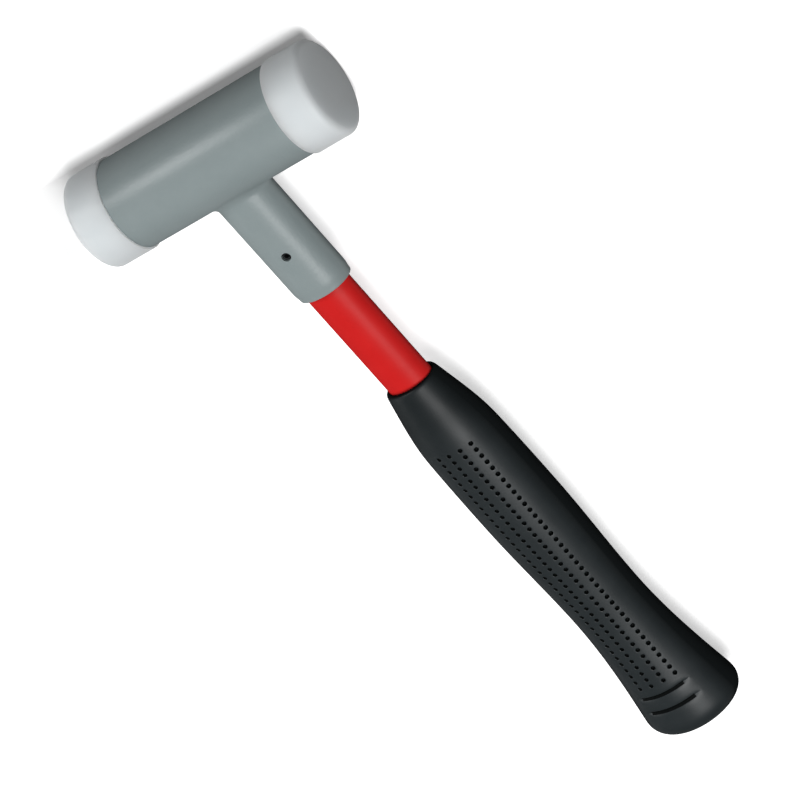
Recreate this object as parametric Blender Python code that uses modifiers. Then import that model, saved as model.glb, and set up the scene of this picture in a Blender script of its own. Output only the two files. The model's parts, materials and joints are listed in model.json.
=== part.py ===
"""Dead blow hammer: a shot-filled steel head with two nylon faces, on an oval tube handle with a rubber grip.

The head lies along X, the handle runs from it towards -Y, and the hammer rests flat with Z up.
The origin is under the middle of the whole hammer, on the surface that it lies on.
"""
import math

import bmesh
import bpy
from mathutils import Matrix, Vector

MM = 0.001

# Clearances
FIT_GAP = 0.3 * MM            # between any two pieces that seat in each other
CUT_OVERRUN = 2.0 * MM        # how far a cutter runs past the face that it opens

# Nylon faces
FACE_DIAMETER = 35.0 * MM
FACE_LENGTH = 14.9 * MM       # from the barrel to the striking face
FACE_EDGE_RADIUS = 2.4 * MM
FACE_BACK_CHAMFER = 0.5 * MM
SPIGOT_CHAMFER = 1.0 * MM

# Barrel
BARREL_DIAMETER = 33.6 * MM
BARREL_LENGTH = 70.5 * MM
BARREL_END_CHAMFER = 0.5 * MM
SEAT_DEPTH = 16.2 * MM        # from the barrel's end to the shoulder that carries the disc
SEAT_DIAMETER = 27.0 * MM     # at the shoulder
SEAT_TAPER = math.radians(1.5)
CHAMBER_DIAMETER = 24.0 * MM
DISC_THICKNESS = 2.0 * MM
DISC_CHAMFER = 0.3 * MM

# Shot
SHOT_DIAMETER = 6.0 * MM
SHOT_TRAVEL = 2.8 * MM        # free run of the charge towards each end of the chamber

# Neck and pin
NECK_RIM_AT = 63.2 * MM       # from the head's axis to the neck's rim
NECK_WALL = 1.9 * MM
NECK_RIM_RADIUS = 1.6 * MM
NECK_FILLET_RADIUS = 2.5 * MM
FILLET_RUNOUT = 0.06 * MM     # how far the fillet's edge dips under the barrel's skin
SOCKET_BOTTOM_AT = 22.0 * MM
PIN_AT = 42.8 * MM
PIN_DIAMETER = 2.8 * MM
PIN_WALL = 0.6 * MM
PIN_SLOT = math.radians(40)
PIN_RECESS = 0.6 * MM

# Handle tube
TUBE_WIDTH = 18.0 * MM
TUBE_THICKNESS = 11.4 * MM
TUBE_WALL = 1.6 * MM
TUBE_IN_GRIP = 163.0 * MM     # length of the tube inside the grip

# Grip, measured from its mouth towards the butt
GRIP_MOUTH_AT = 110.4 * MM    # from the head's axis to the grip's mouth
GRIP_LENGTH = 175.6 * MM
GRIP_MOUTH_WIDTH = 21.6 * MM
GRIP_LIP_RADIUS = 1.0 * MM
GRIP_FLARE_ANGLE = math.radians(10.8)    # of each side to the handle's axis, at a station
GRIP_SHOULDER_AT = 30.0 * MM
GRIP_SHOULDER_WIDTH = 30.8 * MM
GRIP_SHOULDER_ANGLE = math.radians(1.7)
GRIP_SWELL_AT = 66.0 * MM
GRIP_SWELL_WIDTH = 31.7 * MM
GRIP_SWELL_THICKNESS = 24.7 * MM
GRIP_WAIST_AT = 116.0 * MM
GRIP_WAIST_WIDTH = 29.3 * MM
GRIP_BUTT_WIDTH = 39.2 * MM
GRIP_BUTT_ANGLE = math.radians(8.5)
GRIP_END_LENGTH = 6.5 * MM    # the butt's rounded edge, along the handle
GRIP_END_DEPTH = 6.0 * MM     # and across it

# Facets
ROUND_STEPS = 56
OVAL_SIDES = 48
PIN_SIDES = 20
ARC_STEPS = 5
STATION_STEPS = 6

# Derived places
BARREL_END = BARREL_LENGTH / 2
SHOULDER_X = BARREL_END - SEAT_DEPTH
DISC_INNER_X = SHOULDER_X + FIT_GAP
DISC_OUTER_X = DISC_INNER_X + DISC_THICKNESS
SPIGOT_END_X = DISC_OUTER_X + FIT_GAP
FACE_BACK_X = BARREL_END + FIT_GAP
FACE_FRONT_X = FACE_BACK_X + FACE_LENGTH
SOCKET_WIDTH = TUBE_WIDTH + 2 * FIT_GAP
SOCKET_THICKNESS = TUBE_THICKNESS + 2 * FIT_GAP
NECK_HALF_WIDTH = SOCKET_WIDTH / 2 + NECK_WALL
NECK_HALF_THICKNESS = SOCKET_THICKNESS / 2 + NECK_WALL
TUBE_TOP_AT = SOCKET_BOTTOM_AT + FIT_GAP
TUBE_END_AT = GRIP_MOUTH_AT + TUBE_IN_GRIP
BUTT_AT = GRIP_MOUTH_AT + GRIP_LENGTH
GRIP_OVAL = GRIP_SWELL_THICKNESS / GRIP_SWELL_WIDTH    # the same oval all along the grip
HEAD_RADIUS = max(FACE_DIAMETER, BARREL_DIAMETER) / 2
HEAD_Y = (BUTT_AT - HEAD_RADIUS) / 2
HEAD_Z = max(HEAD_RADIUS, GRIP_BUTT_WIDTH * GRIP_OVAL / 2)

TURN_TO_X = (0.0, math.radians(90), 0.0)
TURN_TO_MINUS_X = (0.0, math.radians(-90), 0.0)
TURN_TO_Y = (math.radians(-90), 0.0, 0.0)


def clear_scene():
    """Empties the file, so that the hammer is all it holds."""
    for obj in list(bpy.data.objects):
        bpy.data.objects.remove(obj, do_unlink=True)
    for collection in list(bpy.data.collections):
        bpy.data.collections.remove(collection)


def new_collection(name):
    collection = bpy.data.collections.new(name)
    bpy.context.scene.collection.children.link(collection)
    return collection


def new_material(name, colour, roughness, metallic=0.0):
    material = bpy.data.materials.new(name)
    material.use_nodes = True
    shader = material.node_tree.nodes["Principled BSDF"]
    shader.inputs["Base Color"].default_value = (*colour, 1.0)
    shader.inputs["Roughness"].default_value = roughness
    shader.inputs["Metallic"].default_value = metallic
    return material


clear_scene()
PARTS = new_collection("dead_blow_hammer")
CUTTERS = new_collection("cutters")
POWDER_COAT = new_material("grey_powder_coat", (0.25, 0.29, 0.29), 0.45)
NYLON = new_material("white_nylon", (0.78, 0.81, 0.82), 0.4)
STEEL = new_material("bare_steel", (0.5, 0.5, 0.5), 0.35, 1.0)
RED_PAINT = new_material("red_paint", (0.58, 0.017, 0.015), 0.35)
RUBBER = new_material("black_rubber", (0.015, 0.018, 0.019), 0.6)


def add_part(name, mesh, material, parent):
    obj = bpy.data.objects.new(name, mesh)
    PARTS.objects.link(obj)
    obj.parent = parent
    if not mesh.materials:
        mesh.materials.append(material)
    return obj


def add_cutter(name, mesh, parent):
    obj = bpy.data.objects.new(name, mesh)
    CUTTERS.objects.link(obj)
    obj.parent = parent
    obj.hide_render = True
    obj.display_type = "WIRE"
    return obj


def add_empty(name, location, parent=None):
    empty = bpy.data.objects.new(name, None)
    PARTS.objects.link(empty)
    empty.location = location
    empty.parent = parent
    return empty


def boolean(obj, other, operation):
    modifier = obj.modifiers.new(f"{operation.lower()} {other.name}", "BOOLEAN")
    modifier.operation = operation
    modifier.object = other


def profile_mesh(name, points, closed=False):
    """A chain of edges through (radius, height) points, for a Screw modifier."""
    mesh = bpy.data.meshes.new(name)
    edges = [(i, i + 1) for i in range(len(points) - 1)]
    if closed:
        edges.append((len(points) - 1, 0))
    mesh.from_pydata([(radius, 0.0, height) for radius, height in points], edges, [])
    return mesh


def turn(obj, sweep=2 * math.pi, steps=ROUND_STEPS):
    """Turns an object's profile round its own Z axis."""
    screw = obj.modifiers.new("turned", "SCREW")
    screw.angle = sweep
    screw.steps = steps
    screw.render_steps = steps
    screw.use_merge_vertices = True
    screw.merge_threshold = 0.00001
    screw.use_smooth_shade = True


def oval_rod_mesh(name, width, thickness, near, far, capped=True):
    """An oval rod along the handle, between two distances from the head's axis."""
    mesh = bpy.data.meshes.new(name)
    rod = bmesh.new()
    bmesh.ops.create_cone(rod, cap_ends=capped, segments=OVAL_SIDES, radius1=0.5, radius2=0.5, depth=1.0)
    bmesh.ops.transform(rod, matrix=Matrix.Diagonal((width, thickness, far - near, 1.0)), verts=rod.verts)
    place = Matrix.Translation((0, -(near + far) / 2, 0)) @ Matrix.Rotation(math.radians(90), 4, "X")
    bmesh.ops.transform(rod, matrix=place, verts=rod.verts)
    rod.to_mesh(mesh)
    rod.free()
    mesh.shade_smooth()
    mesh.set_sharp_from_angle(angle=math.radians(35))
    return mesh


def rounded_corner(radius, height, across, along, start=0.0):
    """Points of a quarter oval whose outer side is at radius, running from height down to height - along."""
    points = []
    for step in range(ARC_STEPS + 1):
        angle = start + (math.pi / 2 - start) * step / ARC_STEPS
        points.append((radius - across * (1 - math.cos(angle)), height - along * math.sin(angle)))
    return points


def seat_radius(x):
    """Radius of the tapered seat in the barrel at a distance from the head's middle."""
    return SEAT_DIAMETER / 2 + (x - SHOULDER_X) * math.tan(SEAT_TAPER)


def make_neck_cage():
    """The neck as a loft: its socket, a rounded rim and a rolling-ball fillet that runs out on the barrel.

    Each column of points starts at the bottom of the socket, comes out over the rim, follows the neck
    to the fillet, goes round the fillet to the barrel's skin and ends inside the barrel's wall.
    """
    barrel = BARREL_DIAMETER / 2 - FILLET_RUNOUT
    ball = NECK_FILLET_RADIUS
    root = (BARREL_DIAMETER + CHAMBER_DIAMETER) / 4
    cage = bmesh.new()
    socket_middle = cage.verts.new((0, -SOCKET_BOTTOM_AT, 0))
    root_middle = cage.verts.new((0, -root, 0))
    columns = []
    for side in range(OVAL_SIDES):
        angle = 2 * math.pi * (side + 0.5) / OVAL_SIDES
        bore = Vector((SOCKET_WIDTH / 2 * math.cos(angle), 0, SOCKET_THICKNESS / 2 * math.sin(angle)))
        skin = Vector((NECK_HALF_WIDTH * math.cos(angle), 0, NECK_HALF_THICKNESS * math.sin(angle)))
        out = Vector((math.cos(angle) / NECK_HALF_WIDTH, 0, math.sin(angle) / NECK_HALF_THICKNESS)).normalized()
        column = [bore - Vector((0, SOCKET_BOTTOM_AT, 0)), bore - Vector((0, NECK_RIM_AT, 0))]
        for step in range(ARC_STEPS + 1):
            turned = math.pi / 2 * step / ARC_STEPS
            inset = NECK_RIM_RADIUS * (1 - math.sin(turned))
            drop = NECK_RIM_RADIUS * (1 - math.cos(turned))
            column.append(skin - out * inset + Vector((0, drop - NECK_RIM_AT, 0)))
        centre = skin + out * ball
        centre.y = -math.sqrt((barrel + ball) ** 2 - centre.z ** 2)
        to_barrel = Vector((0, centre.y, centre.z)).normalized()
        for step in range(ARC_STEPS + 1):
            direction = out.lerp(to_barrel, step / ARC_STEPS).normalized()
            column.append(centre - direction * ball)
        column.append(Vector((centre.x, 0, 0)) + to_barrel * root)
        columns.append([cage.verts.new(point) for point in column])
    for side, column in enumerate(columns):
        beside = columns[(side + 1) % OVAL_SIDES]
        cage.faces.new((socket_middle, column[0], beside[0]))
        for row in range(len(column) - 1):
            cage.faces.new((column[row], column[row + 1], beside[row + 1], beside[row]))
        cage.faces.new((column[-1], root_middle, beside[-1]))
    bmesh.ops.recalc_face_normals(cage, faces=cage.faces)
    mesh = bpy.data.meshes.new("neck_loft")
    cage.to_mesh(mesh)
    cage.free()
    return mesh


def make_pin_drill(hammer):
    """The cross hole for the spring pin, cut through the neck and the tube alike."""
    mesh = bpy.data.meshes.new("pin_drill")
    drill = bmesh.new()
    hole = PIN_DIAMETER / 2 + FIT_GAP
    length = 2 * (NECK_HALF_THICKNESS + CUT_OVERRUN)
    bmesh.ops.create_cone(drill, cap_ends=True, segments=PIN_SIDES, radius1=hole, radius2=hole, depth=length)
    drill.to_mesh(mesh)
    drill.free()
    cutter = add_cutter("pin_drill", mesh, hammer)
    cutter.location = (0, -PIN_AT, 0)
    cutter.rotation_euler = (0, 0, math.pi / PIN_SIDES)
    return cutter


def make_head_housing(hammer, pin_drill):
    """The steel barrel and neck in one piece: chamber and face seats in the barrel, handle socket in the neck."""
    outside = BARREL_DIAMETER / 2
    chamfer = BARREL_END_CHAMFER
    seat = SEAT_DIAMETER / 2
    chamber = CHAMBER_DIAMETER / 2
    right_end = [
        (chamber, SHOULDER_X),
        (seat, SHOULDER_X),
        (seat_radius(BARREL_END), BARREL_END),
        (outside - chamfer, BARREL_END),
        (outside, BARREL_END - chamfer),
    ]
    left_end = [(radius, -x) for radius, x in reversed(right_end)]
    barrel = profile_mesh("barrel", right_end + left_end, closed=True)
    housing = add_part("head_housing", barrel, POWDER_COAT, hammer)
    housing.rotation_euler = TURN_TO_X
    turn(housing)
    neck = add_cutter("neck_loft", make_neck_cage(), hammer)
    boolean(housing, neck, "UNION")
    boolean(housing, pin_drill, "DIFFERENCE")


def make_faces(hammer):
    """Two alike nylon faces, each with a tapered spigot that is pushed into its end of the barrel."""
    radius = FACE_DIAMETER / 2
    profile = [(0, FACE_FRONT_X)]
    profile += reversed([
        (radius - FACE_EDGE_RADIUS * (1 - math.cos(angle)),
         FACE_FRONT_X - FACE_EDGE_RADIUS * (1 - math.sin(angle)))
        for angle in (math.pi / 2 * step / ARC_STEPS for step in range(ARC_STEPS + 1))
    ])
    profile += [
        (radius, FACE_BACK_X + FACE_BACK_CHAMFER),
        (radius - FACE_BACK_CHAMFER, FACE_BACK_X),
        (seat_radius(FACE_BACK_X) - FIT_GAP, FACE_BACK_X),
        (seat_radius(SPIGOT_END_X + SPIGOT_CHAMFER) - FIT_GAP, SPIGOT_END_X + SPIGOT_CHAMFER),
        (seat_radius(SPIGOT_END_X) - FIT_GAP - SPIGOT_CHAMFER, SPIGOT_END_X),
        (0, SPIGOT_END_X),
    ]
    mesh = profile_mesh("nylon_face", profile)
    for name, turned in (("left_face", TURN_TO_MINUS_X), ("right_face", TURN_TO_X)):
        face = add_part(name, mesh, NYLON, hammer)
        face.rotation_euler = turned
        turn(face)


def make_chamber_discs(hammer):
    """The steel discs that close the chamber, each on its shoulder behind a nylon face."""
    radius = SEAT_DIAMETER / 2 - FIT_GAP
    mesh = profile_mesh("chamber_disc", [
        (0, DISC_OUTER_X),
        (radius - DISC_CHAMFER, DISC_OUTER_X),
        (radius, DISC_OUTER_X - DISC_CHAMFER),
        (radius, DISC_INNER_X + DISC_CHAMFER),
        (radius - DISC_CHAMFER, DISC_INNER_X),
        (0, DISC_INNER_X),
    ])
    for name, turned in (("left_chamber_disc", TURN_TO_MINUS_X), ("right_chamber_disc", TURN_TO_X)):
        disc = add_part(name, mesh, STEEL, hammer)
        disc.rotation_euler = turned
        turn(disc)


def shot_places():
    """Centres of the balls: alike layers along the chamber, each ball resting on two others or on the wall."""
    pitch = SHOT_DIAMETER + FIT_GAP
    wall = CHAMBER_DIAMETER / 2 - SHOT_DIAMETER / 2 - FIT_GAP
    step = 2 * math.asin(pitch / (2 * wall))

    def on_wall(angle):
        return Vector((0, wall * math.sin(angle), -wall * math.cos(angle)))

    def nested(first, second):
        apart = second - first
        rise = math.sqrt(pitch ** 2 - apart.length_squared / 4)
        return (first + second) / 2 + Vector((0, -apart.z, apart.y)).normalized() * rise

    bottom = [on_wall(-step / 2), on_wall(step / 2)]
    sides = [on_wall(-1.5 * step), on_wall(1.5 * step)]
    middle = nested(*bottom)
    top = [nested(sides[0], middle), nested(middle, sides[1])]
    layer = [*bottom, *sides, middle, *top]
    layers = int((2 * SHOULDER_X - 2 * SHOT_TRAVEL) / pitch)
    return [Vector((pitch * (i - (layers - 1) / 2), 0, 0)) + ball for i in range(layers) for ball in layer]


def make_shot(hammer):
    """The loose steel balls, which run to the struck end of the chamber and so kill the rebound."""
    charge = add_empty("shot_charge", (0, 0, 0), hammer)
    mesh = bpy.data.meshes.new("shot")
    ball = bmesh.new()
    bmesh.ops.create_icosphere(ball, subdivisions=2, radius=SHOT_DIAMETER / 2)
    ball.to_mesh(mesh)
    ball.free()
    mesh.shade_smooth()
    for number, place in enumerate(shot_places(), start=1):
        shot = add_part(f"shot_{number:02d}", mesh, STEEL, charge)
        shot.location = place


def make_handle_tube(hammer, pin_drill):
    """The oval steel tube, from the bottom of the neck's socket to deep inside the grip."""
    skin = oval_rod_mesh("handle_tube", TUBE_WIDTH, TUBE_THICKNESS, TUBE_TOP_AT, TUBE_END_AT, capped=False)
    tube = add_part("handle_tube", skin, RED_PAINT, hammer)
    wall = tube.modifiers.new("wall", "SOLIDIFY")
    wall.thickness = TUBE_WALL
    wall.offset = -1.0
    wall.use_even_offset = True
    boolean(tube, pin_drill, "DIFFERENCE")


def make_spring_pin(hammer):
    """The slotted spring pin across the neck, which holds the tube."""
    half = NECK_HALF_THICKNESS - PIN_RECESS
    radius = PIN_DIAMETER / 2
    pin = add_part("spring_pin", profile_mesh("spring_pin", [(radius, half), (radius, -half)]), STEEL, hammer)
    pin.location = (0, -PIN_AT, 0)
    turn(pin, 2 * math.pi - PIN_SLOT, steps=PIN_SIDES)
    wall = pin.modifiers.new("wall", "SOLIDIFY")
    wall.thickness = PIN_WALL
    wall.offset = -1.0


def station_curve(stations):
    """Smooth (half width, height) points through (distance, half width, angle) stations."""
    points = []
    for (near, start, start_angle), (far, end, end_angle) in zip(stations, stations[1:]):
        length = far - near
        for step in range(STATION_STEPS):
            t = step / STATION_STEPS
            ease = t * t * (3 - 2 * t)
            bend = math.tan(start_angle) * t * (1 - t) ** 2 - math.tan(end_angle) * t * t * (1 - t)
            points.append((start + (end - start) * ease + length * bend, -(near + length * t)))
    return points


def make_grip(hammer):
    """The rubber grip: an oval body that flares from the tube to the palm, draws in and ends in a wide butt."""
    mouth = GRIP_MOUTH_WIDTH / 2
    lip = GRIP_LIP_RADIUS
    butt = GRIP_BUTT_WIDTH / 2
    lean = -math.atan(math.tan(GRIP_BUTT_ANGLE) * GRIP_END_LENGTH / GRIP_END_DEPTH)
    butt_at = GRIP_LENGTH - GRIP_END_LENGTH * (1 - math.sin(lean))
    stations = [
        (lip, mouth, GRIP_FLARE_ANGLE),
        (GRIP_SHOULDER_AT, GRIP_SHOULDER_WIDTH / 2, GRIP_SHOULDER_ANGLE),
        (GRIP_SWELL_AT, GRIP_SWELL_WIDTH / 2, 0.0),
        (GRIP_WAIST_AT, GRIP_WAIST_WIDTH / 2, 0.0),
        (butt_at, butt - GRIP_END_DEPTH * (1 - math.cos(lean)), GRIP_BUTT_ANGLE),
    ]
    profile = [(0, 0), (mouth - lip, 0), (mouth - lip * (1 - math.sqrt(0.5)), -lip * (1 - math.sqrt(0.5)))]
    profile += station_curve(stations)
    profile += rounded_corner(butt, GRIP_END_LENGTH - GRIP_LENGTH, GRIP_END_DEPTH, GRIP_END_LENGTH, lean)
    profile.append((0, -GRIP_LENGTH))
    grip = add_part("grip", profile_mesh("grip", profile), RUBBER, hammer)
    grip.location = (0, -GRIP_MOUTH_AT, 0)
    grip.rotation_euler = TURN_TO_Y
    grip.scale = (1, GRIP_OVAL, 1)
    turn(grip)
    bore = add_cutter("grip_bore", oval_rod_mesh(
        "grip_bore", TUBE_WIDTH + 2 * FIT_GAP, TUBE_THICKNESS + 2 * FIT_GAP,
        GRIP_MOUTH_AT - CUT_OVERRUN, TUBE_END_AT + FIT_GAP), hammer)
    boolean(grip, bore, "DIFFERENCE")


def make_hammer():
    hammer = add_empty("hammer", (0, HEAD_Y, HEAD_Z))
    pin_drill = make_pin_drill(hammer)
    make_head_housing(hammer, pin_drill)
    make_faces(hammer)
    make_chamber_discs(hammer)
    make_shot(hammer)
    make_handle_tube(hammer, pin_drill)
    make_spring_pin(hammer)
    make_grip(hammer)
    bpy.context.view_layer.update()


make_hammer()
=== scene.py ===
# %% [markdown]
# A dead blow hammer, dressed for its portrait
#
# The hammer is a steel barrel filled with loose shot, closed by two white nylon faces, on a red oval
# tube with a black rubber grip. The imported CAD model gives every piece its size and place. This lesson
# remakes the pieces that show with smooth skins and fine detail, gives every piece a finish made of
# shader nodes, and sets up the camera, the floor and the light.
#
# The hammer lies on its side: X runs along the head, Y from the butt to the head, and Z is up.

import json
import math

import bmesh
import bpy
from mathutils import Matrix, Vector

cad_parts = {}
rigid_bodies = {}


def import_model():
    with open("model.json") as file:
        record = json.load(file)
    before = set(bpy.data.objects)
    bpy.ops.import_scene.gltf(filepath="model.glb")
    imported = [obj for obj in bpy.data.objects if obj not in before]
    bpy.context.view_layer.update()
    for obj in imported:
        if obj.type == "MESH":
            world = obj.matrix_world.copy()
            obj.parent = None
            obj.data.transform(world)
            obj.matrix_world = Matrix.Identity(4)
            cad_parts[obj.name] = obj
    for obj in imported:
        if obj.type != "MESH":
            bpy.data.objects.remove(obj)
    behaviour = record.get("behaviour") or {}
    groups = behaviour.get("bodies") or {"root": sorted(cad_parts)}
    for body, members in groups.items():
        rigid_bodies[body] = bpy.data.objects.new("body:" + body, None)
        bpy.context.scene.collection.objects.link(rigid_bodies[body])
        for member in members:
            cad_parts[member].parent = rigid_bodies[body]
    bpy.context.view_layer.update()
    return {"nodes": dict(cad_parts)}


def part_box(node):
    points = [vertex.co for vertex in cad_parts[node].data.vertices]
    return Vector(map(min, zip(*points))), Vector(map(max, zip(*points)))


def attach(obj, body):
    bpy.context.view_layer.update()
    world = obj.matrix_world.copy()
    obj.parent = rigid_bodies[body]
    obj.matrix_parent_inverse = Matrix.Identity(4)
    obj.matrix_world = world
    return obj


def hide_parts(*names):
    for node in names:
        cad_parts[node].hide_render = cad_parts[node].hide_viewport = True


MM = 0.001
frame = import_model()
face_low, face_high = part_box("right_face")
head = (face_low + face_high) / 2
head.x = 0.0
print("head centre in mm:", [round(v / MM, 2) for v in head])

# %% [markdown]
# The camera
#
# A long lens far away flattens the view, as in a catalogue picture. The hammer lies level, but the
# picture is turned so that the head comes out at the top left. So the camera is placed by three
# directions, seen from the hammer: which way is right in the picture, which way is up, and where
# the lens stands.

# %% Camera
CAMERA_RIGHT = Vector((0.7907, -0.6018, -0.1121)).normalized()
CAMERA_UP = Vector((0.4261, 0.6726, -0.6050))
CAMERA_FROM_HEAD = Vector((598.265, 478.768, 1088.005)) * MM
CAMERA_BACK = CAMERA_RIGHT.cross(CAMERA_UP).normalized()
SENSOR = 36.0
FOCAL_IN_FRAMES = 5.0
CLIP_END = 20.0

bpy.ops.object.camera_add()
camera = bpy.context.object
camera.name = "portrait_camera"
camera.data.sensor_width = SENSOR
camera.data.lens = SENSOR * FOCAL_IN_FRAMES
camera.data.clip_end = CLIP_END
axes = Matrix((CAMERA_RIGHT, CAMERA_BACK.cross(CAMERA_RIGHT), CAMERA_BACK)).transposed()
camera.matrix_world = Matrix.Translation(head + CAMERA_FROM_HEAD) @ axes.to_4x4()
bpy.context.scene.camera = camera
print("camera is", round(CAMERA_FROM_HEAD.length, 3), "m from the head")

# %% [markdown]
# Shader maths in plain Python
#
# A finish is a small network of nodes. Written node by node it is long and hard to read, so one class
# wraps a socket: plus, minus, times, divide and power on it add a Math node, and its node method adds
# any other kind.

# %% Sockets that can be reckoned with


class Wire:
    """A socket in a node tree. Arithmetic on it adds Math nodes, and node() adds any other node."""

    def __init__(self, tree, socket=None):
        self.tree = tree
        self.socket = socket

    def node(self, kind, settings=None, values=None, out=0):
        """Adds a node, sets it up, fills or links its inputs and returns one of its outputs."""
        made = self.tree.nodes.new("ShaderNode" + kind)
        for name, value in (settings or {}).items():
            setattr(made, name, value)
        for name, value in (values or {}).items():
            if isinstance(value, Wire):
                self.tree.links.new(value.socket, made.inputs[name])
            else:
                made.inputs[name].default_value = value
        return Wire(self.tree, made.outputs[out] if len(made.outputs) else None)

    def maths(self, operation, first, second=0.0):
        return self.node("Math", {"operation": operation}, {0: first, 1: second})

    def __add__(self, other):
        return self.maths("ADD", self, other)

    def __radd__(self, other):
        return self.maths("ADD", other, self)

    def __sub__(self, other):
        return self.maths("SUBTRACT", self, other)

    def __rsub__(self, other):
        return self.maths("SUBTRACT", other, self)

    def __mul__(self, other):
        return self.maths("MULTIPLY", self, other)

    def __rmul__(self, other):
        return self.maths("MULTIPLY", other, self)

    def __truediv__(self, other):
        return self.maths("DIVIDE", self, other)

    def __pow__(self, other):
        return self.maths("POWER", self, other)

    def axis(self, name):
        """The X, Y or Z part of a wire that carries a vector."""
        return self.node("SeparateXYZ", values={0: self}, out=name)

    def ramp(self, start, runs):
        """0 up to a start, 1 from a length past it on, and a straight rise between."""
        return self.maths("MINIMUM", self.maths("MAXIMUM", (self - start) / runs, 0.0), 1.0)

    def mix(self, first, second):
        """Two colours, mixed by this wire's value."""
        return self.node("Mix", {"data_type": "RGBA"}, {0: self, 6: first, 7: second}, out=2)


print("made the class", Wire.__name__)

# %% [markdown]
# What all finishes share
#
# Colours are given as they look on a screen. Noise makes clouds and grain, Bump turns a pattern into
# small hills, and most of the finishes end in satin: a matt colour under a thin sheen.

# %% Colours and finishes
BLACK = (0.0, 0.0, 0.0, 1.0)
WHITE = (1.0, 1.0, 1.0, 1.0)
MATT_ROUGHNESS = 0.8


def colour(red, green, blue):
    """A screen colour from 0 to 255, as the linear colour that nodes work in."""
    linear = []
    for level in (red / 255, green / 255, blue / 255):
        linear.append(level / 12.92 if level <= 0.04045 else ((level + 0.055) / 1.055) ** 2.4)
    return (*linear, 1.0)


def new_finish(name):
    """A material with an empty node tree, a wire to build it with, and its Object coordinates."""
    material = bpy.data.materials.new(name)
    material.use_nodes = True
    material.node_tree.nodes.clear()
    wire = Wire(material.node_tree)
    return material, wire, wire.node("TexCoord", out="Object")


def noise(wire, place, scale, detail, roughness=0.5):
    """A cloudy pattern from 0 to 1, with about so many clouds to a metre."""
    return wire.node(
        "TexNoise",
        values={"Vector": place, "Scale": scale, "Detail": detail, "Roughness": roughness},
    )


def hills(wire, strength, height, pattern):
    """A normal for a pattern that stands out by a height in metres."""
    return wire.node("Bump", values={"Strength": strength, "Distance": height, "Height": pattern})


def finish_with(wire, shader):
    wire.node("OutputMaterial", values={"Surface": shader})


def satin(wire, tone, roughness, sheen, bump):
    """Ends a finish as a matt colour under a thin sheen, as strong at the rims as in the middle."""
    matt = wire.node(
        "BsdfPrincipled",
        values={"Base Color": tone, "Roughness": MATT_ROUGHNESS, "Specular IOR Level": 0.0, "Normal": bump},
    )
    gloss = wire.node(
        "BsdfPrincipled",
        values={"Base Color": WHITE, "Metallic": 1.0, "Roughness": roughness, "Normal": bump},
    )
    finish_with(wire, wire.node("MixShader", values={0: sheen, 1: matt, 2: gloss}))


print("middle grey in linear light:", [round(v, 3) for v in colour(128, 128, 128)])

# %% [markdown]
# Floor, backdrop and light
#
# The picture is a studio one: the hammer lies on white paper under a long soft box that hangs along the
# handle, so that the neck, the tube and the grip carry a streak of light. A weak box low on the left
# opens up the left sides, and a small one behind the head lights the back of the barrel. No lamp stands
# low on the right, so the right sides go dark. The paper is white to the camera and in reflections, and
# greyer to bounced light, so that the undersides are not lit as strongly as the top. A glow that only
# the camera sees lifts it to white: none of it under the head, about half of it a few millimetres from
# there, and all of it far away. So the shadow behind the head is dark and short, and the one beside the
# handle is faint.

# %% Floor
FLOOR_SIZE = 8.0
NEAR_GLOW = 0.55
# half size of the paper without glow, and its middle along the head
UNDER_HEAD = Vector((62.0, 13.2)) * MM
UNDER_MIDDLE = -16.0 * MM
RISE_RUNS = 7.0 * MM
GLOW_STARTS = 0.5
GLOW_RUNS = 0.8
PAPER_TO_BOUNCES = colour(115, 115, 115)
PAPER_TO_CAMERA = colour(247, 247, 247)
PAPER_ROUGHNESS = 0.9


def paper_finish(name):
    material, wire, place = new_finish(name)
    seen = wire.node("LightPath", out="Is Camera Ray")
    mirrored = wire.node("LightPath", out="Is Glossy Ray")
    through = wire.node("LightPath", out="Is Transmission Ray")
    shown = wire.maths("MINIMUM", seen + mirrored + through, 1.0)
    tone = shown.mix(PAPER_TO_BOUNCES, PAPER_TO_CAMERA)
    away = wire.node("VectorMath", {"operation": "LENGTH"}, {0: place}, out="Value")
    far = away.ramp(GLOW_STARTS, GLOW_RUNS)
    along_head = wire.maths("ABSOLUTE", place.axis("X") - UNDER_MIDDLE)
    across_head = wire.maths("ABSOLUTE", place.axis("Y") - head.y)
    past_end = wire.maths("MAXIMUM", along_head - UNDER_HEAD.x, 0.0)
    past_side = wire.maths("MAXIMUM", across_head - UNDER_HEAD.y, 0.0)
    rise = (past_end * past_end + past_side * past_side) ** 0.5 / RISE_RUNS
    level = wire.maths("MINIMUM", rise, NEAR_GLOW) + (1.0 - NEAR_GLOW) * far
    glow = seen.mix(BLACK, wire.node("CombineColor", values={0: level, 1: level, 2: level}))
    shader = wire.node(
        "BsdfPrincipled",
        values={
            "Base Color": tone,
            "Roughness": PAPER_ROUGHNESS,
            "Emission Color": glow,
            "Emission Strength": 1.0,
        },
    )
    finish_with(wire, shader)
    return material


bpy.ops.object.select_all(action="DESELECT")
bpy.ops.mesh.primitive_plane_add(size=FLOOR_SIZE, location=(0, 0, 0))
floor = bpy.context.object
floor.name = "paper_floor"
floor.data.materials.append(paper_finish("white_paper"))
print("floor is", FLOOR_SIZE, "m across")

# %% World and lamps
WORLD_LEVEL = 0.02
LAMP_DISTANCE = 1.3


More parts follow.
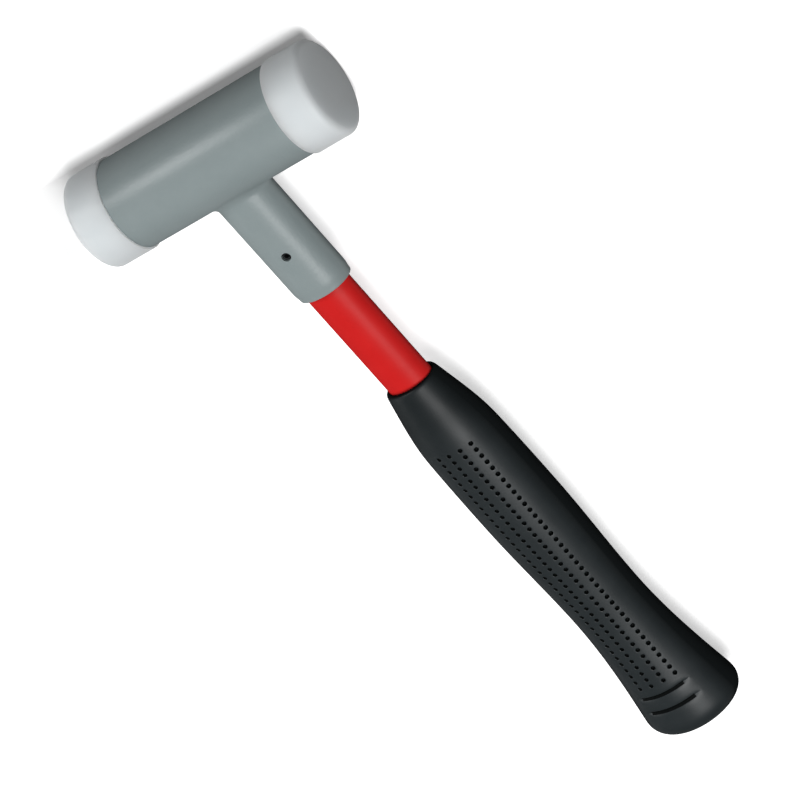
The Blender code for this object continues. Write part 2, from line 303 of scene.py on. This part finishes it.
def light_world():
    world = bpy.data.worlds.new("studio")
    world.use_nodes = True
    world.node_tree.nodes.clear()
    wire = Wire(world.node_tree)
    seen = wire.node("LightPath", out="Is Camera Ray")
    tone = seen.mix((WORLD_LEVEL, WORLD_LEVEL, WORLD_LEVEL, 1.0), WHITE)
    wire.node("OutputWorld", values={"Surface": wire.node("Background", values={"Color": tone})})
    bpy.context.scene.world = world


def soft_box(name, toward, width, height, power):
    """A rectangular lamp that looks at the middle of the hammer from a direction."""
    direction = Vector(toward).normalized()
    bpy.ops.object.light_add(type="AREA", location=direction * LAMP_DISTANCE)
    lamp = bpy.context.object
    lamp.name = name
    lamp.data.shape = "RECTANGLE"
    lamp.data.size = width
    lamp.data.size_y = height
    lamp.data.energy = power
    lamp.rotation_mode = "QUATERNION"
    lamp.rotation_quaternion = direction.to_track_quat("Z", "Y")


light_world()
soft_box("overhead_strip", (0.26, -0.10, 0.96), width=0.9, height=0.5, power=15.2)
soft_box("left_box", (-0.93, 0.0, 0.37), width=0.6, height=0.6, power=3.2)
soft_box("back_box", (-0.44, 0.70, 0.56), width=0.35, height=0.35, power=5.4)
bpy.context.scene.view_settings.view_transform = "Standard"

# %% [markdown]
# Selecting in code
#
# By hand one clicks on the faces and edges to work on. In a script they are picked by where they are
# or which way they face. The choose function works in edit mode, and everything else is deselected
# first, because an operator acts on all that is selected.

# %% Selection and finishing helpers
SMOOTH_ANGLE = math.radians(32)
FACING = 0.9
TINY = 0.01 * MM


def choose(kind, test):
    """In edit mode, selects the vertices, edges or faces whose middle passes a test, and no others."""
    bpy.ops.mesh.select_mode(type=kind)
    bpy.ops.mesh.select_all(action="DESELECT")
    mesh = bmesh.from_edit_mesh(bpy.context.edit_object.data)
    if kind == "VERT":
        found = [vert for vert in mesh.verts if test(vert.co, vert.normal)]
    elif kind == "EDGE":
        ends = [(edge, edge.verts[0].co, edge.verts[1].co) for edge in mesh.edges]
        found = [edge for edge, first, second in ends if test((first + second) / 2, second - first)]
    else:
        found = [face for face in mesh.faces if test(face.calc_center_median(), face.normal)]
    for element in found:
        element.select_set(True)
    mesh.select_flush_mode()
    bmesh.update_edit_mesh(bpy.context.edit_object.data)
    return len(found)


def begin(name):
    """Names the primitive just added, puts its place into its mesh and opens it for editing."""
    piece = bpy.context.object
    piece.name = name
    piece.data.name = name
    bpy.ops.object.transform_apply(location=True, rotation=True, scale=True)
    bpy.ops.object.mode_set(mode="EDIT")
    return piece


def close_edit(smooth_under=None):
    """Makes the faces point outwards and leaves edit mode, smoothing edges flatter than an angle."""
    bpy.ops.mesh.select_all(action="SELECT")
    bpy.ops.mesh.normals_make_consistent(inside=False)
    bpy.ops.object.mode_set(mode="OBJECT")
    if smooth_under is not None:
        bpy.ops.object.shade_smooth_by_angle(angle=smooth_under)


def make_active(piece):
    bpy.ops.object.select_all(action="DESELECT")
    piece.select_set(True)
    bpy.context.view_layer.objects.active = piece


def apply_modifiers(piece):
    make_active(piece)
    for modifier in list(piece.modifiers):
        bpy.ops.object.modifier_apply(modifier=modifier.name)


def combine(piece, other, operation):
    """Joins another solid to a piece or cuts it away, and removes the other one."""
    modifier = piece.modifiers.new(operation.lower(), "BOOLEAN")
    modifier.operation = operation
    modifier.object = other
    modifier.solver = "EXACT"
    apply_modifiers(piece)
    bpy.data.objects.remove(other, do_unlink=True)


def dress(piece, material, body, slot, *nodes):
    """Gives a piece a finish if it has none and its body, and hides the CAD nodes that it stands for."""
    if len(piece.data.materials) == 0:
        piece.data.materials.append(material)
    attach(piece, body)
    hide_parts(*nodes)
    sides = sum(len(p.vertices) - 2 for p in piece.data.polygons)
    print(piece.name, "has", sides, "triangles")


print("edges flatter than", round(math.degrees(SMOOTH_ANGLE)), "degrees are shaded smooth")

# %% [markdown]
# Grey powder coat
#
# The barrel and neck are one steel piece with a satin grey coat. Baked powder flows out into faint
# hills and hollows about a millimetre wide, which soften its highlights. Two sizes of noise make
# them: the finer one roughens the skin, and the wider one also shifts the tone a little.

# %% Powder coat


def powder_coat():
    material, wire, place = new_finish("grey_powder_coat")
    peel = noise(wire, place, scale=900.0, detail=2.0)
    cloud = noise(wire, place, scale=110.0, detail=3.0, roughness=0.6)
    tone = cloud.mix(colour(131, 142, 143), colour(140, 150, 151))
    bump = hills(wire, strength=0.22, height=0.25 * MM, pattern=peel)
    satin(wire, tone, roughness=0.3 + 0.1 * peel, sheen=0.03, bump=bump)
    return material


coat = powder_coat()
print("made", coat.name)

# %% [markdown]
# The barrel
#
# The barrel is a thick turned tube with a seat for a nylon face in each end and a chamber for the
# shot between. It could be spun from a drawn section, but it is quicker to start from a cylinder:
# each end is inset and pushed in to make the seat, inset again to the chamber, and the two chamber
# ends are bridged.

# %% Barrel
BARREL_SIDES = 192
END_ROUND = 0.2 * MM
END_STEPS = 4
SEAT_DEPTH = 16.2 * MM
SEAT_RADIUS = 13.5 * MM
SEAT_TAPER = math.radians(1.5)
CHAMBER_RADIUS = 12.0 * MM

housing_low, housing_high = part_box("head_housing")
barrel_radius = (housing_high.z - housing_low.z) / 2
barrel_length = housing_high.x - housing_low.x
seat_mouth = SEAT_RADIUS + SEAT_DEPTH * math.tan(SEAT_TAPER)

bpy.ops.object.select_all(action="DESELECT")
bpy.ops.mesh.primitive_cylinder_add(
    vertices=BARREL_SIDES,
    radius=barrel_radius,
    depth=barrel_length,
    location=head,
    rotation=(0, math.radians(90), 0),
)
housing = begin("coated_housing")


def at_end(side):
    """A test for the flat face at one end of the barrel."""
    def test(middle, normal):
        return normal.x * side > FACING and middle.x * side > barrel_length / 2 - MM
    return test


for side in (-1, 1):
    choose("FACE", at_end(side))
    bpy.ops.mesh.inset(thickness=barrel_radius - seat_mouth)
    bpy.ops.mesh.extrude_region_move(TRANSFORM_OT_translate={"value": (-side * SEAT_DEPTH, 0, 0)})
    narrowed = SEAT_RADIUS / seat_mouth
    bpy.ops.transform.resize(value=(1, narrowed, narrowed), center_override=head)
    bpy.ops.mesh.inset(thickness=SEAT_RADIUS - CHAMBER_RADIUS)
shoulder_x = barrel_length / 2 - SEAT_DEPTH


def at_chamber_end(middle, normal):
    return abs(abs(middle.x) - shoulder_x) < TINY and (middle - head).yz.length < MM


def on_outer_rim(middle, along):
    at_end_plane = abs(middle.x) > barrel_length / 2 - TINY
    return at_end_plane and (middle - head).yz.length > barrel_radius - END_ROUND / 2


choose("FACE", at_chamber_end)
bpy.ops.mesh.bridge_edge_loops()
choose("EDGE", on_outer_rim)
bpy.ops.mesh.bevel(offset=END_ROUND, segments=END_STEPS, affect="EDGES")
close_edit()
print("barrel is", round(barrel_length / MM, 1), "mm long and", round(2 * barrel_radius / MM, 1), "mm wide")

# %% [markdown]
# The neck
#
# The neck is an oval socket that grows out of the barrel with a small fillet and ends in a rounded
# rim. The fillet is the hard part: the neck meets a round barrel, so its foot is a saddle. Here rings
# are extruded from the bottom of the socket, out over the rim and up to the barrel, and each ring of
# the fillet is wider than the last. Shrinkwrap then drops every ring onto the barrel along Y, each at
# its own height, so that together they follow a quarter circle all the way round.

# %% Neck rings
NECK_SIDES = 128
NECK_HALF = Vector((11.2, 7.9)) * MM
SOCKET_HALF = Vector((9.3, 6.0)) * MM
SOCKET_BOTTOM = 22.0 * MM
RIM_ROUND = 1.6 * MM
RIM_STEPS = 8
RIM_OVAL = 0.98
FILLET = 2.5 * MM
FILLET_STEPS = 8
FILLET_PARKED = 20
SINK = 0.02 * MM
ROOT_DEPTH = 2.2 * MM


def grow_ring(half, y, old_half, old_y):
    """Extrudes the selected ring along Y and stretches it to a new oval."""
    bpy.ops.mesh.extrude_edges_move(TRANSFORM_OT_translate={"value": (0, y - old_y, 0)})
    stretch = (half.x / old_half.x, 1, half.y / old_half.y)
    bpy.ops.transform.resize(value=stretch, center_override=(0, y, head.z))
    return half, y


def remember_ring(name):
    """Puts the selected vertices in a group of their own."""
    bpy.ops.object.vertex_group_add()
    bpy.context.object.vertex_groups.active.name = name
    bpy.ops.object.vertex_group_assign()


bpy.ops.object.select_all(action="DESELECT")
bpy.ops.mesh.primitive_circle_add(
    vertices=NECK_SIDES,
    radius=SOCKET_HALF.x,
    fill_type="NGON",
    location=(0, head.y - SOCKET_BOTTOM, head.z),
    rotation=(math.radians(90), 0, 0),
)
neck = begin("neck")
bpy.ops.transform.resize(value=(1, 1, SOCKET_HALF.y / SOCKET_HALF.x), center_override=head)
choose("EDGE", lambda middle, along: True)
rim_y = housing_low.y
ring = (SOCKET_HALF, head.y - SOCKET_BOTTOM)
ring = grow_ring(SOCKET_HALF, rim_y, *ring)
ring = grow_ring(NECK_HALF, rim_y, *ring)
heights = {}
for step in range(FILLET_STEPS + 1):
    turned = math.pi / 2 * step / FILLET_STEPS
    spread = FILLET * (1 - math.cos(turned))
    ring = grow_ring(NECK_HALF + Vector((spread, spread)), rim_y + (FILLET_PARKED + step) * MM, *ring)
    remember_ring(f"fillet_{step}")
    heights[f"fillet_{step}"] = FILLET * (1 - math.sin(turned)) - SINK
ring = grow_ring(ring[0], ring[1] + MM, *ring)
remember_ring("root")
heights["root"] = -ROOT_DEPTH
bpy.ops.mesh.extrude_edges_move()
bpy.ops.mesh.merge(type="CENTER")
bpy.ops.object.vertex_group_assign()


def on_neck_rim(middle, along):
    spread = (middle.x / NECK_HALF.x) ** 2 + ((middle.z - head.z) / NECK_HALF.y) ** 2
    return abs(middle.y - rim_y) < TINY and abs(along.y) < TINY and spread > RIM_OVAL


choose("EDGE", on_neck_rim)
bpy.ops.mesh.bevel(offset=RIM_ROUND, segments=RIM_STEPS, affect="EDGES")
close_edit()
for name, height in heights.items():
    wrap = neck.modifiers.new(name, "SHRINKWRAP")
    wrap.target = housing
    wrap.wrap_method = "PROJECT"
    wrap.use_project_y = True
    wrap.use_positive_direction = True
    wrap.use_negative_direction = False
    wrap.offset = height
    wrap.vertex_group = name
apply_modifiers(neck)
print("neck has", len(neck.data.vertices), "vertices in", len(heights), "fitted rings")

# %% [markdown]
# One housing
#
# On the real head the barrel and the neck are one piece, so the two solids are united, and the hole
# for the cross pin is drilled through the neck. Smooth shading is set for all edges but the sharp ones,
# such as the hole's.

# %% Unite and drill
PIN_HOLE_RADIUS = 1.7 * MM
PIN_SIDES = 40
pin_low, pin_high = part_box("spring_pin")
pin_middle = (pin_low + pin_high) / 2


def pin_drill():
    bpy.ops.object.select_all(action="DESELECT")
    bpy.ops.mesh.primitive_cylinder_add(
        vertices=PIN_SIDES,
        radius=PIN_HOLE_RADIUS,
        depth=2 * (pin_high.z - pin_low.z),
        location=(0, pin_middle.y, pin_middle.z),
    )
    bpy.ops.object.transform_apply(location=True, rotation=True, scale=True)
    return bpy.context.object


combine(housing, neck, "UNION")
combine(housing, pin_drill(), "DIFFERENCE")
make_active(housing)
bpy.ops.object.shade_smooth_by_angle(angle=SMOOTH_ANGLE)
dress(housing, coat, "hammer", "powder_coat", "head_housing")

# %% [markdown]
# White nylon
#
# The faces are turned from nylon rod. The tool leaves fine rings on the end and fine lines round the
# side, closer together than the eye can count, so they show only as a soft sheen. Nylon also lets light
# in under its skin, which blurs the step from the lit side to the end.

# %% Nylon
TURNING_PITCH = 0.35 * MM
TURNING_SHARE = 0.15


def white_nylon():
    material, wire, place = new_finish("white_nylon")
    centred = wire.node("VectorMath", {"operation": "SUBTRACT"}, {0: place, 1: head})
    x, y, z = [centred.axis(name) for name in "XYZ"]
    radius = (y * y + z * z) ** 0.5
    rings = wire.maths("SINE", (radius + x) * (2 * math.pi / TURNING_PITCH))
    grain = noise(wire, place, scale=700.0, detail=3.0)
    cloud = noise(wire, place, scale=60.0, detail=2.0)
    tone = cloud.mix(colour(210, 215, 217), colour(216, 221, 223))
    bump = hills(wire, strength=0.1, height=0.1 * MM, pattern=rings * TURNING_SHARE + grain)
    shader = wire.node(
        "BsdfPrincipled",
        values={
            "Base Color": tone,
            "Roughness": 0.42 + 0.1 * grain,
            "Specular IOR Level": 0.3,
            "Normal": bump,
            "Subsurface Weight": 1.0,
            "Subsurface Radius": (1.0, 1.0, 1.0),
            "Subsurface Scale": 10.0 * MM,
        },
    )
    finish_with(wire, shader)
    return material


nylon = white_nylon()
print("made", nylon.name)

# %% [markdown]
# The nylon faces
#
# Each face is a thick white disc, a little wider than the barrel, with a rounded striking edge and a
# tapered spigot behind it that is pushed into the barrel. One is shaped from a cylinder by insetting
# and extruding its back, and the other is a copy turned half round.

# %% Nylon faces
FACE_SIDES = 192
FACE_FRONT_ROUND = 2.4 * MM
FACE_BACK_ROUND = 0.25 * MM
SPIGOT_ROUND = 1.0 * MM
FIT_GAP = 0.3 * MM
FACE_GAP = 0.05 * MM
RIM_SLACK = 0.05 * MM

face_radius = (face_high.z - face_low.z) / 2
face_front = face_high.x
face_back = barrel_length / 2 + FACE_GAP
spigot_end = face_low.x
spigot_mouth = seat_mouth - FIT_GAP
spigot_tip = spigot_mouth - (face_back - spigot_end) * math.tan(SEAT_TAPER)

bpy.ops.object.select_all(action="DESELECT")
bpy.ops.mesh.primitive_cylinder_add(
    vertices=FACE_SIDES,
    radius=face_radius,
    depth=face_front - face_back,
    location=((face_front + face_back) / 2, head.y, head.z),
    rotation=(0, math.radians(90), 0),
)
right_face = begin("right_nylon_face")


def rim_at(x, radius):
    """A test for the edges of the ring at a place along the head, of a radius."""
    def test(middle, along):
        off = (middle - head).yz.length - radius
        return abs(middle.x - x) < TINY and abs(off) < RIM_SLACK and abs(along.x) < TINY
    return test


choose("FACE", lambda middle, normal: normal.x < -FACING)
bpy.ops.mesh.inset(thickness=face_radius - spigot_mouth)
bpy.ops.mesh.extrude_region_move(TRANSFORM_OT_translate={"value": (spigot_end - face_back, 0, 0)})
taper = spigot_tip / spigot_mouth
bpy.ops.transform.resize(value=(1, taper, taper), center_override=head)
rounded_edges = (
    # place along the head, radius, rounding and steps
    (face_front, face_radius, FACE_FRONT_ROUND, 8),
    (face_back, face_radius, FACE_BACK_ROUND, 3),
    (spigot_end, spigot_tip, SPIGOT_ROUND, 3),
)
for x, radius, rounding, steps in rounded_edges:
    choose("EDGE", rim_at(x, radius))
    bpy.ops.mesh.bevel(offset=rounding, segments=steps, affect="EDGES")
close_edit(SMOOTH_ANGLE)

make_active(right_face)
bpy.ops.object.duplicate()
left_face = bpy.context.object
left_face.name = "left_nylon_face"
left_face.data.name = "left_nylon_face"
bpy.ops.transform.rotate(value=math.pi, orient_axis="Z", center_override=head)
bpy.ops.object.transform_apply(location=True, rotation=True, scale=True)
dress(right_face, nylon, "right_face", "nylon", "right_face")
dress(left_face, nylon, "left_face", "nylon", "left_face")

# %% [markdown]
# Red paint
#
# The tube is sprayed red over bare steel. The paint's ripple is coarser and shallower than the powder
# coat's, and its sheen is weaker, so that the red stays full.

# %% Red paint


def red_paint():
    material, wire, place = new_finish("sprayed_red_paint")
    ripple = noise(wire, place, scale=600.0, detail=2.0)
    cloud = noise(wire, place, scale=90.0, detail=2.0)
    tone = cloud.mix(colour(196, 30, 30), colour(206, 37, 36))
    bump = hills(wire, strength=0.12, height=0.2 * MM, pattern=ripple)
    satin(wire, tone, roughness=0.34 + 0.08 * ripple, sheen=0.009, bump=bump)
    return material


paint = red_paint()
print("made", paint.name)

# %% [markdown]
# The handle tube
#
# The handle is an oval steel tube that runs from the neck's socket to deep inside the grip, so only a
# short length shows. A cylinder is stretched to the oval, its ends are opened, and Solidify gives it a
# wall. The pin's hole goes through it as it goes through the neck.

# %% Handle tube
TUBE_SIDES = 128
TUBE_WALL = 1.6 * MM
tube_low, tube_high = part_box("handle_tube")
tube_size = tube_high - tube_low

bpy.ops.object.select_all(action="DESELECT")
bpy.ops.mesh.primitive_cylinder_add(
    vertices=TUBE_SIDES,
    radius=tube_size.x / 2,
    depth=tube_size.y,
    location=(tube_low + tube_high) / 2,
    rotation=(math.radians(90), 0, 0),
)
tube = begin("painted_tube")
bpy.ops.transform.resize(value=(1, 1, tube_size.z / tube_size.x), center_override=head)
choose("FACE", lambda middle, normal: abs(normal.y) > FACING)
bpy.ops.mesh.delete(type="FACE")
close_edit()
wall = tube.modifiers.new("wall", "SOLIDIFY")
wall.thickness = TUBE_WALL
wall.offset = -1.0
wall.use_even_offset = True
apply_modifiers(tube)
combine(tube, pin_drill(), "DIFFERENCE")
make_active(tube)
bpy.ops.object.shade_smooth_by_angle(angle=SMOOTH_ANGLE)
dress(tube, paint, "hammer", "red_paint", "handle_tube")

# %% [markdown]
# Steel, bright and painted dark
#
# The cross pin is a rolled spring pin. Its steel is given a dark tone, painted shade that stands in for
# the shade in its hole, so that from outside it is a dark spot in the neck.

# %% Steel


def steel(name, dark, light, roughness, metal):
    material, wire, place = new_finish(name)
    scuff = noise(wire, place, scale=500.0, detail=4.0)
    bump = hills(wire, strength=0.15, height=0.1 * MM, pattern=scuff)
    shader = wire.node(
        "BsdfPrincipled",
        values={
            "Base Color": scuff.mix(dark, light),
            "Roughness": roughness + 0.15 * scuff,
            "Metallic": metal,
            "Normal": bump,
        },
    )
    finish_with(wire, shader)
    return material


bare_steel = steel("bare_steel", colour(160, 160, 162), colour(190, 190, 190), roughness=0.25, metal=1.0)
# painted shade: the pin's dark tone stands in for the shade in its hole
pin_painted_shade_steel = steel("dark_steel_painted_shade", colour(26, 30, 32), colour(44, 48, 50), roughness=0.4, metal=0.6)
inside = [name for name in frame["nodes"] if name.startswith("shot_") or name.endswith("_disc")]
for name in inside:
    frame["nodes"][name].material_slots[0].material = bare_steel
print("steel on", len(inside), "inner pieces")

# %% [markdown]
# The spring pin
#
# The pin is a strip of spring steel rolled into a tube with a slot along it, pressed through the neck
# and the tube. A cylinder loses its ends and a strip of its side, and Solidify makes the strip thick.

# %% Spring pin
PIN_ROLL_SIDES = 72
PIN_WALL = 0.6 * MM
PIN_SLOT = math.radians(40)
SLOT_AT = math.radians(-20)
PIN_EDGE = 0.12 * MM
PIN_EDGE_STEPS = 2
PIN_EDGE_ANGLE = math.radians(60)

bpy.ops.object.select_all(action="DESELECT")
bpy.ops.mesh.primitive_cylinder_add(
    vertices=PIN_ROLL_SIDES,
    radius=(pin_high.x - pin_low.x) / 2,
    depth=pin_high.z - pin_low.z,
    location=(0, pin_middle.y, pin_middle.z),
)
pin = begin("slotted_pin")


def end_or_slot(middle, normal):
    turned = math.atan2(normal.y, normal.x) - SLOT_AT
    return abs(normal.z) > FACING or abs(turned) < PIN_SLOT / 2


choose("FACE", end_or_slot)
bpy.ops.mesh.delete(type="FACE")
close_edit()
wall = pin.modifiers.new("wall", "SOLIDIFY")
wall.thickness = PIN_WALL
wall.offset = -1.0
edge = pin.modifiers.new("edge", "BEVEL")
edge.width = PIN_EDGE
edge.segments = PIN_EDGE_STEPS
edge.angle_limit = PIN_EDGE_ANGLE
apply_modifiers(pin)
bpy.ops.object.shade_smooth_by_angle(angle=SMOOTH_ANGLE)
dress(pin, pin_painted_shade_steel, "hammer", "steel", "spring_pin")

# %% [markdown]
# Black rubber
#
# Moulded rubber is nearly black and matt, with the fine sandblasted grain of its mould. Under a thin
# sheen it shows its shape by one soft streak of the light above. The narrow sides and the cone at the
# mouth carry painted shade: a darker tone and less sheen than the broad sides, told apart by the normal
# and the way along the grip. A second finish, duller and darker, is painted shade on the floors of the
# dimples and grooves, which that light doesn't reach.

# %% Rubber
# shares of the sheen under the painted shade on the narrow sides and the mouth cone, and where a side
# counts as broad: its normal's upward part
SHADED_SHEEN_SHARE = 0.1
LIT_FACING_STARTS = 0.4
LIT_FACING_RUNS = 0.35
MOUTH_LIT_SHARE = 0.5
LIT_PAST_MOUTH_STARTS = 14.0 * MM
LIT_PAST_MOUTH_RUNS = 20.0 * MM
grip_low, grip_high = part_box("grip")


def rubber_finish(name, painted_shade_tone, dark, light, sheen):
    material, wire, place = new_finish(name)
    grain = noise(wire, place, scale=2200.0, detail=2.0)
    cloud = noise(wire, place, scale=120.0, detail=3.0)
    bump = hills(wire, strength=0.25, height=0.1 * MM, pattern=grain)
    # painted shade: sides that face sideways and the cone at the mouth get a darker tone and less sheen
    facing = wire.node("TexCoord", out="Normal").axis("Z")
    lit_by_facing = wire.maths("ABSOLUTE", facing).ramp(LIT_FACING_STARTS, LIT_FACING_RUNS)
    lit_past_mouth = (grip_high.y - place.axis("Y")).ramp(LIT_PAST_MOUTH_STARTS, LIT_PAST_MOUTH_RUNS)
    lit_side_mask = lit_by_facing * (MOUTH_LIT_SHARE + (1.0 - MOUTH_LIT_SHARE) * lit_past_mouth)
    share = SHADED_SHEEN_SHARE + (1.0 - SHADED_SHEEN_SHARE) * lit_side_mask
    tone = lit_side_mask.mix(painted_shade_tone, cloud.mix(dark, light))
    satin(wire, tone, roughness=0.36 + 0.1 * cloud, sheen=sheen * share, bump=bump)
    return material


rubber = rubber_finish(
    "black_rubber",
    # painted shade for the narrow sides and the mouth cone
    painted_shade_tone=colour(20, 24, 25),
    dark=colour(35, 40, 42),
    light=colour(43, 48, 50),
    sheen=0.025,
)
# painted shade for the floors of the dimples and grooves
painted_shade_rubber = rubber_finish(
    "black_rubber_painted_shade",
    painted_shade_tone=colour(10, 12, 12),
    dark=colour(10, 12, 12),
    light=colour(15, 17, 17),
    sheen=0.002,
)
print("made", rubber.name, "and", painted_shade_rubber.name)

# %% [markdown]
# The grip
#
# The grip is one oval moulding: narrow at its mouth, full in the palm, drawn in towards the little
# finger and flared at the butt. Both broad sides have four rows of small round dimples, and two short
# grooves cross them near the butt. The body is a stack of oval rings, extruded one from the next, with
# a ring at every dimple and a column of vertices under every row.

# %% Grip sections
GRIP_COLUMNS = 40
COLUMN = 2 * math.pi / GRIP_COLUMNS
DIMPLES = 40
FIRST_DIMPLE = 27.6
DIMPLE_PITCH = 3.12
GROOVES = (154.2, 161.1)
SHOULDER_RINGS = [1.4, 3.0, 6.0, 9.5, 13.0, 16.5, 20.0, 23.0, 25.4]
BUTT_RINGS = [151.8, GROOVES[0], 157.6, GROOVES[1], 164.4, 167.0]
STATIONS = (
    # distance from the mouth and half width in mm, and slope
    (1.0, 10.8, 0.191),
    (30.0, 15.4, 0.03),
    (66.0, 15.85, 0.0),
    (116.0, 14.65, 0.0),
    (168.06, 19.52, 0.15),
)
grip_size = grip_high - grip_low
grip_length = grip_size.y / MM
flatness = grip_size.z / grip_size.x
mouth_y = grip_high.y


def half_width(s):
    """Half the grip's width in mm, at a distance from its mouth, on a smooth curve through the stations."""
    for (near, start, start_slope), (far, end, end_slope) in zip(STATIONS, STATIONS[1:]):
        if s <= far:
            length = far - near
            t = (s - near) / length
            ease = t * t * (3 - 2 * t)
            bend = start_slope * t * (1 - t) ** 2 - end_slope * t * t * (1 - t)
            return start + (end - start) * ease + length * bend
    return STATIONS[-1][1]


dimple_rings = [FIRST_DIMPLE + DIMPLE_PITCH * i for i in range(DIMPLES)]
body = [(s, half_width(s)) for s in SHOULDER_RINGS + dimple_rings + BUTT_RINGS]
print("grip is", round(grip_length, 1), "mm long, with", len(body), "rings on its body")

# %% Grip body
LIP = 1.0
LIP_FLAT = 0.15
LIP_CUT = 0.3
TUBE_END = 163.3
BORE_HALF = Vector((9.3, 6.0)) * MM
BORE_EDGE = 0.2
BORE_RINGS = (TUBE_END - 0.5, TUBE_END / 2, 1.0, BORE_EDGE)
BUTT_END_HALVES = (12.6, 6.0)
BUTT_HALF = 19.6
BUTT_ACROSS = 6.0
BUTT_ALONG = 6.5
BUTT_STEPS = 6


def butt_corner():
    """The rounded edge of the butt, as (distance, half width) in mm."""
    for step in range(BUTT_STEPS + 1):
        turned = math.pi / 2 * step / BUTT_STEPS
        across = BUTT_HALF - BUTT_ACROSS * (1 - math.cos(turned))
        yield grip_length - BUTT_ALONG * (1 - math.sin(turned)), across


mouth_half = STATIONS[0][1]
lip_rings = [
    (0.0, mouth_half - LIP - LIP_FLAT),
    (0.0, mouth_half - LIP),
    (LIP_CUT, mouth_half - LIP_CUT),
]
end_rings = [(grip_length, half) for half in BUTT_END_HALVES]
outline = lip_rings + body + list(butt_corner()) + end_rings

bpy.ops.object.select_all(action="DESELECT")
bpy.ops.mesh.primitive_circle_add(
    vertices=GRIP_COLUMNS,
    radius=BORE_HALF.x,
    fill_type="NGON",
    location=(0, mouth_y - TUBE_END * MM, head.z),
    rotation=(math.radians(90), 0, 0),
)
grip = begin("rubber_grip")
grip.data.materials.append(rubber)
grip.data.materials.append(painted_shade_rubber)
grip.active_material_index = 1
bpy.ops.transform.resize(value=(1, 1, BORE_HALF.y / BORE_HALF.x), center_override=head)
choose("EDGE", lambda middle, along: True)
ring = (BORE_HALF, mouth_y - TUBE_END * MM)
for s in BORE_RINGS:
    ring = grow_ring(BORE_HALF, mouth_y - s * MM, *ring)
ring = grow_ring(BORE_HALF + Vector((BORE_EDGE, BORE_EDGE)) * MM, mouth_y, *ring)
for s, half in outline:
    ring = grow_ring(Vector((half, half * flatness)) * MM, mouth_y - s * MM, *ring)
bpy.ops.mesh.edge_face_add()
bpy.ops.mesh.select_all(action="SELECT")
bpy.ops.mesh.normals_make_consistent(inside=False)
print("grip body has", len(bmesh.from_edit_mesh(grip.data).faces), "faces")

# %% [markdown]
# Grooves and dimples
#
# A groove starts as one chain of edges across the grip. Beveling splits it into a strip, and the strip's
# middle line is pushed in. A dimple starts as one vertex: a vertex bevel with a low profile opens it into
# a small round face, and insets step that face down into the rubber. All dimples are worked at once.
# The floors of both take the grip's second finish, which is painted shade.

# %% Grooves
GROOVE_HALF_WIDTH = 0.36 * MM
GROOVE_DEPTH = 0.9 * MM
GROOVE_FROM = -5 * COLUMN
GROOVE_TO = 4 * COLUMN
RING_SLACK = 0.05
SKIN_SLACK = 0.4


def turned_from_top(point):
    """The angle round the grip from its nearest broad side, and the distance from its mouth in mm."""
    up = abs(point.z - head.z) / flatness
    return math.atan2(point.x, up), (mouth_y - point.y) / MM


def is_outside(point):
    """Whether a point is on the grip's skin and not in its bore."""
    s = turned_from_top(point)[1]
    across = math.hypot(point.x, (point.z - head.z) / flatness) / MM
    return across > half_width(max(s, LIP)) - SKIN_SLACK


def along_groove(point, slack, kept_back):
    """Whether a point is within a slack in mm of a groove's line, and so far inside its ends."""
    turned, s = turned_from_top(point)
    near = min(abs(s - groove) for groove in GROOVES)
    return near < slack and GROOVE_FROM + kept_back < turned < GROOVE_TO - kept_back


def on_groove(middle, along):
    level = abs(along.y) < RING_SLACK * MM
    return level and along_groove(middle, RING_SLACK, 0.0) and is_outside(middle)


def in_groove(point, normal):
    return along_groove(point, RING_SLACK, COLUMN / 2) and is_outside(point)


def in_groove_floor(middle, normal):
    return along_groove(middle, GROOVE_HALF_WIDTH / MM, COLUMN)


choose("EDGE", on_groove)
bpy.ops.mesh.bevel(offset=GROOVE_HALF_WIDTH, segments=2, affect="EDGES")
found = choose("VERT", in_groove)
bpy.ops.transform.shrink_fatten(value=-GROOVE_DEPTH)
# painted shade on the groove floors
choose("FACE", in_groove_floor)
bpy.ops.object.material_slot_assign()
print("grooves pushed in at", found, "points")

# %% Dimples
DIMPLE_COLUMNS = (-3, -1, 1, 3)
DIMPLE_RADIUS = 1.02 * MM
DIMPLE_LIP = 0.08 * MM
DIMPLE_WALL = 0.25 * MM
DIMPLE_DEPTH = 1.1 * MM
ROUND_PROFILE = 0.086
ROW_SLACK = 0.1
SPOT_SLACK = 0.02
SKIN_LEVELS = 1


def at_dimple(point, normal):
    turned, s = turned_from_top(point)
    row = (s - FIRST_DIMPLE) / DIMPLE_PITCH
    if not -ROW_SLACK < row < DIMPLES - 1 + ROW_SLACK or abs(row - round(row)) > SPOT_SLACK:
        return False
    in_column = any(abs(turned - column * COLUMN) < SPOT_SLACK for column in DIMPLE_COLUMNS)
    return in_column and is_outside(point)


found = choose("VERT", at_dimple)
bpy.ops.mesh.bevel(offset=DIMPLE_RADIUS, segments=2, profile=ROUND_PROFILE, affect="VERTICES")
bpy.ops.mesh.select_mode(type="FACE")
bpy.ops.mesh.inset(thickness=DIMPLE_LIP, use_boundary=True)
bpy.ops.mesh.inset(thickness=DIMPLE_WALL, depth=-DIMPLE_DEPTH)
# painted shade in the dimples and on the faces round them
bpy.ops.mesh.select_more()
bpy.ops.object.material_slot_assign()
close_edit()
print("dimples:", found)
skin = grip.modifiers.new("skin", "SUBSURF")
skin.levels = SKIN_LEVELS
skin.render_levels = SKIN_LEVELS
apply_modifiers(grip)
bpy.ops.object.shade_smooth()
dress(grip, rubber, "hammer", "rubber", "grip")
